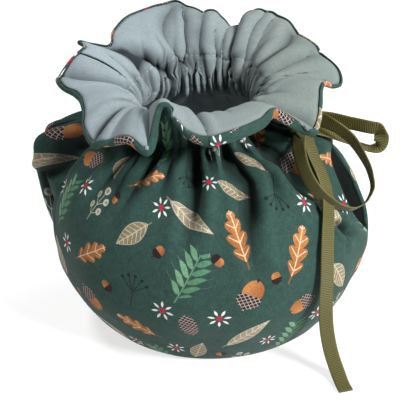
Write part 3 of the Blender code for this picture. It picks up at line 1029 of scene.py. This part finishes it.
def panel_surface(side, count, depth):
    """Points of a printed panel with its edges rolled under, and for each one how far it lies
    across and along the flat cloth and how much shade is painted on it in a crease. Smooth
    cloth plus its gathers, ripples and folds along the normal; then rows of an arc round the
    free edge, and columns of an arc down each side edge."""
    turns = PANEL_START[side] + np.linspace(0.0, HALF_TURN, PANEL_COLUMNS)
    runs, along = even_runs(0.0, NECK + 1.0, *PANEL_STEPS)
    points, normals = cloth(turns, runs, side)
    turn, run = np.broadcast_arrays(turns[:, None], runs[None, :])
    bars, painted_groove_shade = gathers(turn, run, count, depth)
    relief = bars + ripples(turn, run) * smoothstep(run, 1.0, 3.0)
    puff = ring_spline(turns, *zip(*EDGE_PUFF))
    swell = smoothstep(run - NECK, 0.35, 1.0)
    relief = relief * (1.0 - 0.6 * swell) + (2.0 * puff[:, None] - LAYERS) * swell
    points += (relief - seam_dents(along, PANEL_DENT))[..., None] * normals

    height = meridian_at(runs)[:, 1]
    across = np.radians(panel_angle(turn, height[None, :], side)) * BELLY_RADIUS
    shade = painted_crease_shade(turn, run, painted_groove_shade, PRINT_SIDE)
    flat = np.stack([across, np.broadcast_to(along, across.shape), shade], -1)

    outward = unit(points[:, -1] - points[:, -2])
    arc, facing = roll(points[:, -1], normals[:, -1], outward, puff, EDGE_ANGLES)
    tuck = arc[:, -1] + TUCK_IN * normals[:, -1] - TUCK_DOWN * outward
    points = np.concatenate([points, arc, tuck[:, None]], axis=1)
    normals = np.concatenate([normals, facing, facing[:, -1:]], axis=1)
    more = np.repeat(flat[:, -1:], arc.shape[1] + 1, axis=1)
    more[..., 1] += np.concatenate([EDGE_ANGLES, [np.pi + 0.3]]) * puff[:, None]
    flat = np.concatenate([flat, more], axis=1)

    radii = seam_roll(np.concatenate([runs, np.full(more.shape[1], NECK + 1.0)]))
    radii = radii if side == "front" else radii[::-1]
    for edge, radius in zip((0, -1), radii):
        draw_back(points, edge, radius - SEAM_OVERLAP, PANEL_EASE)
    for edge, step, radius in ((0, 1, radii[0]), (-1, -1, radii[1])):
        outward = unit(points[edge] - points[edge + step])
        arc, facing = roll(points[edge], normals[edge], outward, radius, SIDE_ANGLES)
        more = np.repeat(flat[edge][None], len(SIDE_ANGLES), axis=0)
        more[..., 0] -= step * SIDE_ANGLES[:, None] * radius
        added = (np.moveaxis(arc, 1, 0), np.moveaxis(facing, 1, 0), more)
        grown = zip(added, (points, normals, flat))
        points, normals, flat = (
            np.concatenate([new[::-1], old] if edge == 0 else [old, new]) for new, old in grown)
    return points, flat


def lining_surface(side, count, depth):
    """Points of a lining piece, with the same three values for each: the smooth cloth moved
    in by both layers, with gathers that stand towards the inside. Its edges dip into the
    seams."""
    turns = PANEL_START[side] + np.linspace(0.0, HALF_TURN, LINING_COLUMNS)
    runs, along = even_runs(LINING_START, NECK + LINING_EDGE, *LINING_STEPS)
    points, normals = cloth(turns, runs, side)
    turn, run = np.broadcast_arrays(turns[:, None], runs[None, :])
    bars, painted_groove_shade = gathers(turn, run, count, depth, inside=True)
    edge = smoothstep(run - NECK, 0.55, 0.9)
    relief = (bars + ripples(turn, run)) * (1.0 - 0.7 * edge)
    inset = LAYERS + relief - seam_dents(along, LINING_DENT)
    inset[:, -1] -= EDGE_DIP
    inset[:, -2] -= NEXT_DIP
    inset[:, 0] -= FOOT_DIP
    points -= inset[..., None] * normals
    radii = seam_roll(runs)
    radii = radii if side == "front" else radii[::-1]
    for which, radius in zip((0, -1), radii):
        draw_back(points, which, 2.4 * (radius - SEAM_RADIUS) + 0.25, LINING_EASE)
        points[which] += SIDE_DIP * normals[which]
    across = np.radians(turn) * BELLY_RADIUS
    shade = painted_crease_shade(turn, run, painted_groove_shade, LINING_SIDE)
    return points, np.stack([across, np.broadcast_to(along, across.shape), shade], -1)


PRINT_INKS = {
    # screen colours, 0 to 255; the fold colour is the shade painted down folds and grooves
    "oak root": (140, 84, 44), "oak tip": (178, 116, 66), "oak vein": (240, 212, 178),
    "leaf": (132, 122, 98), "blade": (150, 140, 118), "leaf vein": (212, 202, 180),
    "nut shade": (146, 88, 46), "nut": (186, 124, 74), "cap": (34, 22, 26),
    "lattice": (196, 176, 168), "sprig shade": (82, 128, 98), "sprig": (108, 152, 120),
    "berry": (186, 184, 168), "berry shade": (136, 130, 116), "petal": (228, 234, 228),
    "flower heart": (186, 30, 66), "seed head": (14, 26, 26), "sewing thread": (60, 92, 84),
    "between threads": (6, 12, 10), "fold": (4, 8, 8),
}
LINING_INKS = {
    # screen colours, 0 to 255; the spout side colour is light painted on that side, and the
    # fold colour is the shade painted down folds and grooves
    "painted spout light": (141, 154, 164), "between threads": (60, 66, 68),
    "sewing thread": (206, 212, 212), "fold": (14, 20, 23),
}
COTTON_SHEEN = {"Sheen_Weight": 0.06, "Sheen_Roughness": 0.4}


def screen_colours(table):
    """The same table with linear colours."""
    return {name: srgb(*colour) for name, colour in table.items()}


def tinted(colour, *shares):
    """A linear colour times a share, or one share for each channel, kept below white."""
    shares = shares * 3 if len(shares) == 1 else shares
    return tuple(min(1.0, share * c) for share, c in zip(shares, colour)) + (1.0,)


def print_material(settings):
    """Printed cotton: the motif masks painted over a mottled ground, on a plain weave, with
    painted shade down its folds and grooves.
    """
    graph = Graph("autumn_print")
    place = graph.add("ShaderNodeAttribute", {"attribute_name": "motif"}).outputs["Vector"]
    x, y, kind = graph.split(place)
    across, along = graph.millimetres("cloth")
    spot = graph.add("ShaderNodeTexCoord").outputs["Object"]
    fine = graph.noise(spot, 1500.0, 2.0)
    mottle = graph.noise(spot, 260.0, 4.0, 0.65)

    ink = screen_colours(PRINT_INKS)
    dark, light = tinted(settings.ground, 0.80), tinted(settings.ground, 1.22)
    colour = graph.mix(mottle.math("MULTIPLY_ADD", 3.0, -1.0, clamp=True), dark, light)
    colour = graph.mix(0.35, colour, tinted(settings.ground, 1.0))

    oak, oak_veins, leaf, leaf_veins = leaf_prints(x, y, kind)
    is_oak = kind.equals(OAK)
    is_leaf = kind.equals(LEAF).high(kind.equals(BLADE))
    to_tip = x.math("MULTIPLY_ADD", 0.5, 0.5, clamp=True)
    warm = graph.mix(to_tip, ink["oak root"], ink["oak tip"])
    colour = graph.mix(oak * is_oak, colour, warm)
    colour = graph.mix(oak_veins * is_oak, colour, ink["oak vein"])
    taupe = graph.mix(kind.equals(BLADE), ink["leaf"], ink["blade"])
    colour = graph.mix(leaf * is_leaf, colour, taupe)
    colour = graph.mix(leaf_veins * is_leaf * 0.85, colour, ink["leaf vein"])

    nut, cap, point, cone, lattice = fruit_prints(x, y)
    is_acorn = kind.equals(ACORN)
    is_nut = is_acorn.high(kind.equals(NUT))
    is_cone = kind.equals(CONE)
    lit_side = y.math("MULTIPLY_ADD", 0.9, 0.5, clamp=True)
    shell = graph.mix(lit_side, ink["nut shade"], ink["nut"])
    colour = graph.mix(nut * is_nut, colour, shell)
    dark_cap = (cap * is_nut).high(cone * is_cone).high(point * is_nut)
    colour = graph.mix(dark_cap, colour, ink["cap"])
    marks = lattice * ((cap * is_acorn).high(cone * is_cone))
    colour = graph.mix(marks * 0.8, colour, ink["lattice"])

    sprig, berries, shade, stems = sprig_prints(x, y)
    is_sprig = kind.equals(SPRIG)
    is_berry = kind.equals(BERRY)
    green = graph.mix(y.soft(0.05), ink["sprig shade"], ink["sprig"])
    colour = graph.mix(sprig * is_sprig, colour, green)
    colour = graph.mix(stems.high(berries) * is_berry, colour, ink["berry"])
    colour = graph.mix(shade * is_berry, colour, ink["berry shade"])

    petals, centre, umbel = head_prints(x, y)
    is_flower = kind.equals(FLOWER)
    colour = graph.mix(petals * is_flower, colour, ink["petal"])
    colour = graph.mix(centre * is_flower, colour, ink["flower heart"])
    colour = graph.mix(umbel * kind.equals(UMBEL), colour, ink["seed head"])

    sewn = casing_stitches(across, along)
    colour = graph.mix(sewn * 0.4, colour, ink["sewing thread"])
    threads = weave(across, along, PRINT_PITCH)
    yarn = slubs(graph, across, along)
    height = threads * 0.5 + fine * 0.5 + yarn * 0.5 + sewn * 1.5
    colour = graph.mix(threads * 0.20 + yarn * 0.34, colour, ink["between threads"])
    # Painted shade: the colour darkens down the folds and the gathers' grooves.
    colour = graph.mix(read_painted_shade(graph) * 0.72, colour, ink["fold"])
    return graph.finish(
        colour, fine * 0.12 + 0.80, height, 0.06 * MM, Specular_IOR_Level=0.2, **COTTON_SHEEN)


def lining_material(settings):
    """Plain cotton with a soft nap: slight clouding, painted light that makes it paler and
    cooler towards the spout, a fine weave, the casing's stitches and painted shade down its
    folds."""
    graph = Graph("plain_cotton")
    across, along = graph.millimetres("cloth")
    spot = graph.add("ShaderNodeTexCoord").outputs["Object"]
    cloud = graph.noise(spot, 55.0, 3.0)
    fine = graph.noise(spot, 1400.0, 2.0)
    ink = screen_colours(LINING_INKS)
    cool = tinted(settings.lining_colour, 0.90, 0.94, 0.96)
    pale = tinted(settings.lining_colour, 1.08, 1.07, 1.06)
    colour = graph.mix(cloud.math("MULTIPLY_ADD", 2.4, -0.7, clamp=True), cool, pale)
    # Painted light: paler and cooler towards the spout side.
    painted_light_to_spout = graph.split(spot)[0].math("MULTIPLY_ADD", -9.0, 0.5, clamp=True)
    colour = graph.mix(painted_light_to_spout * 0.6, colour, ink["painted spout light"])
    sewn = casing_stitches(across, along)
    threads = weave(across, along, LINING_PITCH)
    yarn = slubs(graph, across, along)
    colour = graph.mix(threads * 0.10 + yarn * 0.20, colour, ink["between threads"])
    colour = graph.mix(sewn * 0.22, colour, ink["sewing thread"])
    # Painted shade: the colour darkens down the folds and the gathers' grooves.
    colour = graph.mix(read_painted_shade(graph) * 0.93, colour, ink["fold"])
    height = threads * 0.5 + fine * 0.4 + yarn * 0.5 + sewn * 1.2
    return graph.finish(
        colour, fine * 0.1 + 0.82, height, 0.05 * MM, Specular_IOR_Level=0.12, **COTTON_SHEEN)


def find_material(name, build, settings):
    """The material of that name, made on first use."""
    return bpy.data.materials.get(name) or build(settings)


class COSY_OT_panels(bpy.types.Operator):
    """Make the front and back panels of printed cotton"""

    bl_idname = "cosy.panels"
    bl_label = "Printed panels"

    def execute(self, context):
        settings = context.scene.cosy_cloth
        printed = find_material("autumn_print", print_material, settings)
        plain = find_material("plain_cotton", lining_material, settings)
        for side in PANEL_START:
            points, flat = panel_surface(side, settings.gathers, settings.gather_depth / MM)
            quads = grid_faces(*points.shape[:2])
            made = make_object(side + "_panel_cloth", points, quads)
            corners = flat.reshape(-1, 3)[quads]
            add_uv(made, "cloth", corners[..., :2])
            add_numbers(made, "painted_crease_shade", flat[..., 2])
            add_corner_vectors(made, "motif", nearest_motif(corners[..., 0], corners[..., 1]))
            made.data.materials.append(printed)
            made.data.materials.append(plain)
            thicken(made, settings.thickness / MM, inner_slot=1)
            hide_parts(side + "_panel")
            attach(made, "root")
        return {"FINISHED"}


class COSY_OT_linings(bpy.types.Operator):
    """Make the two lining pieces inside the frill and the neck"""

    bl_idname = "cosy.linings"
    bl_label = "Lining"

    def execute(self, context):
        settings = context.scene.cosy_cloth
        plain = find_material("plain_cotton", lining_material, settings)
        for side in PANEL_START:
            points, flat = lining_surface(side, settings.gathers, settings.gather_depth / MM)
            quads = grid_faces(*points.shape[:2], turned=True)
            made = make_object(side + "_lining_cloth", points, quads)
            add_uv(made, "cloth", flat.reshape(-1, 3)[quads][..., :2])
            add_numbers(made, "painted_crease_shade", flat[..., 2])
            made.data.materials.append(plain)
            thicken(made, settings.lining / MM)
            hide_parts(side + "_lining")
            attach(made, "root")
        return {"FINISHED"}


# ---------------------------------------------------------------------------------------
# Ribbon
# ---------------------------------------------------------------------------------------

KNOT = (57.0, -11.0, 128.0)
KNOT_SIZE = (13.0, 10.0, 8.5)
LOWER_LOOP = (
    # x, y, z, edge_on
    (56, -10, 129, 20),
    (65, -8, 131, 26),
    (75, -12, 129, 48),
    (84, -13, 122, 56),
    (90.3, -14, 112.5, 70),
    (94.8, -13, 101, 80),
    (96, -14, 92, 86),
    (93.4, -18, 87, 92),
    (88, -25, 86, 98),
    (81.5, -33, 90, 108),
    (74, -41, 98.5, 124),
    (67.5, -43, 106, 134),
    (61, -38, 115.5, 138),
    (57.5, -29, 123, 142),
    (57, -14, 127, 150),
)
SIDE_LOOP = (
    # x, y, z, edge_on
    (56, -8, 129, 30),
    (66, -4, 130, 34),
    (84, -5, 127.5, 38),
    (95, -8, 126.5, 40),
    (98.1, -8.2, 126.0, 42),
    (99.8, -8.5, 123.8, 50),
    (100.4, -8.6, 120.6, 10),
    (99.5, -8.2, 116.7, 10),
    (97.4, -7.4, 114.6, 46),
    (94.1, -6.4, 113.6, 58),
    (90, -5, 114, 62),
    (81, -5, 117.6, 58),
    (70, -6, 122.8, 42),
    (59, -9, 127, 34),
)
TAIL = (
    # x, y, z, edge_on
    (57, -13, 127, -20),
    (61, -20, 125, -32),
    (65, -28, 119, -40),
    (70, -34, 110.5, -42),
    (73, -38, 102, -40),
    (74, -42, 92, -36),
    (74, -48, 83, -32),
    (74, -53, 71, -28),
    (74, -56, 59, -24),
    (73.5, -58, 47, -18),
    (74, -59, 28, -8),
    (77, -61, 12, -4),
    (80.5, -65, 3.6, -6),
    (83, -71, 1.4, -15),
    (85.5, -77, 1.1, -19),
)


RIBBON_FACING = (0.18, -0.86, 0.47)     # edge_on is 0 where the ribbon's flat faces this way
RIBBON_STEPS = 160
RIBBON_ACROSS = 9


def ribbon_line(route, steps):
    """Centres, width directions and lengths along a route: a smooth curve through its
    points, read at even steps, with the width turned round the curve by edge_on."""
    route = np.array(route, float)
    gaps = np.linalg.norm(np.diff(route[:, :3], axis=0), axis=1)
    stations = np.concatenate([[0.0], np.cumsum(gaps)])
    even = np.linspace(0.0, stations[-1], steps + 1)
    centre = spline(even, stations, route[:, :3])
    turn = np.radians(spline(even, stations, route[:, 3]))[:, None]
    along = unit(np.gradient(centre, axis=0))
    side = unit(np.cross(along, np.array(RIBBON_FACING)))
    deep = np.cross(along, side)
    steps_long = np.linalg.norm(np.diff(centre, axis=0), axis=1)
    gone = np.concatenate([[0.0], np.cumsum(steps_long)])
    return centre, np.cos(turn) * side + np.sin(turn) * deep, gone


def ribbon_strip(name, route, settings, material):
    """A length of flat ribbon: points evenly across its width at each step of its line."""
    centre, side, gone = ribbon_line(route, RIBBON_STEPS)
    width = settings.width / MM
    share = np.linspace(-1.0, 1.0, RIBBON_ACROSS)
    points = centre[:, None] + 0.5 * width * share[None, :, None] * side[:, None]
    quads = grid_faces(*points.shape[:2])
    made = make_object(name, points, quads)
    flat_u = np.broadcast_to(gone[:, None], points.shape[:2]).ravel()[quads]
    flat_v = np.broadcast_to(0.5 * width * share[None], points.shape[:2]).ravel()[quads]
    add_uv(made, "ribbon", np.stack([flat_u, flat_v], -1))
    made.data.materials.append(material)
    thicken(made, settings.thickness / MM, 0.0)
    path = (centre - np.array([*BOX_CENTRE, 0.0])) * MM
    return made, path, gone[-1] * MM


def knot_surface(material):
    """The knot: the ribbon wound once round itself, as a rounded band. A closed ring of
    superellipse sections, whose radius falls to nothing at both ends."""
    around = np.linspace(0.0, 2 * np.pi, 49)
    height = np.sin(np.linspace(-0.5, 0.5, 25) * np.pi)
    swell = np.sqrt(np.maximum(1.0 - np.abs(height) ** 5, 0.0))
    cos, sin = np.cos(around), np.sin(around)
    round_x = np.sign(cos) * np.abs(cos) ** 0.8
    round_y = np.sign(sin) * np.abs(sin) ** 0.8
    fold = 1.0 + 0.05 * np.cos(3 * around + 1.0)
    x = 0.5 * KNOT_SIZE[0] * round_x[:, None] * swell * fold[:, None]
    y = 0.5 * KNOT_SIZE[1] * round_y[:, None] * swell * fold[:, None]
    z = 0.5 * KNOT_SIZE[2] * height[None, :] * np.ones_like(x)
    points = np.stack([x, y, z], -1) + np.array(KNOT)
    quads = grid_faces(*points.shape[:2])
    made = make_object("ribbon_knot", points, quads)
    flat_u = np.broadcast_to((around * 6.0)[:, None], x.shape).ravel()[quads]
    flat_v = np.broadcast_to(3.4 * height[None, :], x.shape).ravel()[quads]
    add_uv(made, "ribbon", np.stack([flat_u, flat_v], -1))
    join = made.modifiers.new("close", "WELD")
    join.merge_threshold = 0.02 * MM
    made.data.materials.append(material)
    return made


def ribbon_material(settings):
    """Grosgrain: round ribs across the ribbon between two narrow woven edges, with painted
    shade in the grooves and painted light on the crowns.
    """
    graph = Graph("grosgrain")
    along, across = graph.millimetres("ribbon")
    half = 0.5 * settings.width / MM
    ribs = (along * (2 * np.pi / (settings.rib / MM))).sin() * 0.5 + 0.5
    border = (abs(across) - (half - 0.55)).soft(0.2)
    rib = ribs * (1.0 - border) + border * 0.7
    spot = graph.add("ShaderNodeTexCoord").outputs["Object"]
    fine = graph.noise(spot, 1800.0, 2.0)
    # Painted shade in the grooves between the ribs and painted light on their crowns.
    painted_groove_shade, painted_rib_light = tinted(settings.colour, 0.34), tinted(settings.colour, 1.70)
    colour = graph.mix(rib * 0.85 + fine * 0.2 - 0.02, painted_groove_shade, painted_rib_light)
    height = rib + fine * 0.15
    return graph.finish(
        colour, 0.62 - rib * 0.12, height, 0.16 * MM,
        Sheen_Weight=0.1, Sheen_Roughness=0.3, Specular_IOR_Level=0.35)


class COSY_OT_ribbon(bpy.types.Operator):
    """Make the ribbon's knot, its two loops and its tail"""

    bl_idname = "cosy.ribbon"
    bl_label = "Ribbon bow"

    def execute(self, context):
        settings = context.scene.cosy_ribbon
        material = find_material("grosgrain", ribbon_material, settings)
        knot = knot_surface(material)
        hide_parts("ribbon_tie")
        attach(knot, "root")
        for name, route, far_end, lay in (
                ("ribbon_lower_loop", LOWER_LOOP, "object", "hanging"),
                ("ribbon_side_loop", SIDE_LOOP, "object", "hanging"),
                ("ribbon_tail", TAIL, "bare", "hanging")):
            made, path, length = ribbon_strip(name, route, settings, material)
            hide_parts("ribbon_tie")
            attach(made, "root")
        return {"FINISHED"}


# ---------------------------------------------------------------------------------------
# Stage
# ---------------------------------------------------------------------------------------

VIEW_AZIMUTH, VIEW_ELEVATION, VIEW_ROLL = 12.0, 28.0, -4.0
VIEW_TARGET = (-4.0, -1.0, 75.0)    # what the camera is turned to, from the neck's axis
LIGHT_TARGET = (0.0, 0.0, 0.08)     # and the lights, in metres from the origin
WORLD_COLOUR = (1.0, 0.97, 0.90, 1.0)
WORLD_STRENGTH = 0.08
FLOOR_HALF, FLOOR_HEIGHT = 4000.0, -0.2
LIGHTS = (
    # name, x, y, z, size, power
    ("key", 1.40, -0.85, 1.00, 0.5, 66.0),
    ("window", 0.90, 0.90, 1.00, 0.7, 10.0),
    ("fill", -1.40, -0.70, 0.70, 1.2, 2.0),
    ("sky", -0.60, 0.00, 1.60, 0.4, 18.0),
)


def aim(made, place, target):
    """Puts a light at a place, facing a target."""
    made.location = place
    made.rotation_euler = (Vector(target) - Vector(place)).to_track_quat("-Z", "Y").to_euler()


class COSY_OT_stage(bpy.types.Operator):
    """Make the floor, the lights and the camera"""

    bl_idname = "cosy.stage"
    bl_label = "Stage"

    def execute(self, context):
        settings = context.scene.cosy_stage
        scene = context.scene
        scene.view_settings.view_transform = "Standard"

        corners = np.array([[-1, -1, 0], [1, -1, 0], [1, 1, 0], [-1, 1, 0]], float) * FLOOR_HALF
        corners[:, 2] = FLOOR_HEIGHT
        floor = make_object("floor", corners, np.array([[0, 1, 2, 3]]))
        graph = Graph("floor")
        spot = graph.add("ShaderNodeTexCoord").outputs["Object"]
        cloud = graph.noise(spot, 3.0, 2.0)
        colour = graph.mix(cloud * 0.1, tinted(settings.floor, 1.0), (0.0, 0.0, 0.0, 1.0))
        floor.data.materials.append(graph.finish(
            colour, 0.8, cloud, 0.1 * MM, Emission_Color=(1.0, 1.0, 1.0, 1.0),
            Emission_Strength=settings.glow))

        for name, x, y, z, size, power in LIGHTS:
            data = bpy.data.lights.new(name, "AREA")
            data.shape = "DISK"
            data.size = size
            data.energy = power
            light = bpy.data.objects.new(name, data)
            scene.collection.objects.link(light)
            aim(light, (x, y, z), LIGHT_TARGET)

        world = bpy.data.worlds.new("studio")
        world.use_nodes = True
        background = world.node_tree.nodes["Background"]
        background.inputs["Color"].default_value = WORLD_COLOUR
        background.inputs["Strength"].default_value = WORLD_STRENGTH
        scene.world = world

        azimuth, elevation, roll_angle = np.radians([VIEW_AZIMUTH, VIEW_ELEVATION, VIEW_ROLL])
        back = np.array([
            np.sin(azimuth) * np.cos(elevation),
            -np.cos(azimuth) * np.cos(elevation),
            np.sin(elevation)])
        right = unit(np.cross(-back, [0.0, 0.0, 1.0]))
        up = np.cross(right, -back)
        right, up = (
            right * np.cos(roll_angle) + up * np.sin(roll_angle),
            up * np.cos(roll_angle) - right * np.sin(roll_angle))
        target = (np.array(VIEW_TARGET) - np.array([*BOX_CENTRE, 0.0])) * MM
        data = bpy.data.cameras.new("camera")
        data.sensor_width = 36.0
        data.lens = settings.lens
        data.clip_start = 0.01
        data.clip_end = 20.0
        camera = bpy.data.objects.new("camera", data)
        matrix = Matrix(np.column_stack([right, up, back]).tolist()).to_4x4()
        matrix.translation = (target + settings.distance * back).tolist()
        camera.matrix_world = matrix
        scene.collection.objects.link(camera)
        scene.camera = camera
        return {"FINISHED"}


class COSY_PT_panel(bpy.types.Panel):
    """Buttons and settings of the tea cosy"""

    bl_label = "Tea cosy"
    bl_idname = "COSY_PT_panel"
    bl_space_type = "VIEW_3D"
    bl_region_type = "UI"
    bl_category = "Tea cosy"

    def draw(self, context):
        scene = context.scene
        for title, settings, operators in (
                ("Cloth", scene.cosy_cloth, ("cosy.panels", "cosy.linings")),
                ("Ribbon", scene.cosy_ribbon, ("cosy.ribbon",)),
                ("Stage", scene.cosy_stage, ("cosy.stage",))):
            box = self.layout.box()
            box.label(text=title)
            for name in settings.bl_rna.properties.keys():
                if name not in ("rna_type", "name"):
                    box.prop(settings, name)
            for operator in operators:
                box.operator(operator)


CLASSES = (
    ClothSettings, RibbonSettings, StageSettings,
    COSY_OT_stage, COSY_OT_ribbon, COSY_OT_panels, COSY_OT_linings,
    COSY_PT_panel,
)
SETTINGS = {
    "cosy_cloth": ClothSettings, "cosy_ribbon": RibbonSettings, "cosy_stage": StageSettings,
}


def register():
    """Add the classes and their settings to Blender."""
    for entry in CLASSES:
        bpy.utils.register_class(entry)
    for name, group in SETTINGS.items():
        setattr(bpy.types.Scene, name, bpy.props.PointerProperty(type=group))


def unregister():
    """Take them out again."""
    for name in SETTINGS:
        delattr(bpy.types.Scene, name)
    for entry in reversed(CLASSES):
        bpy.utils.unregister_class(entry)


def main():
    """Make the whole cosy."""
    register()
    bpy.ops.cosy.stage()
    bpy.ops.cosy.ribbon()
    bpy.ops.cosy.panels()
    bpy.ops.cosy.linings()
    bpy.context.view_layer.update()


if __name__ == "__main__":
    main()
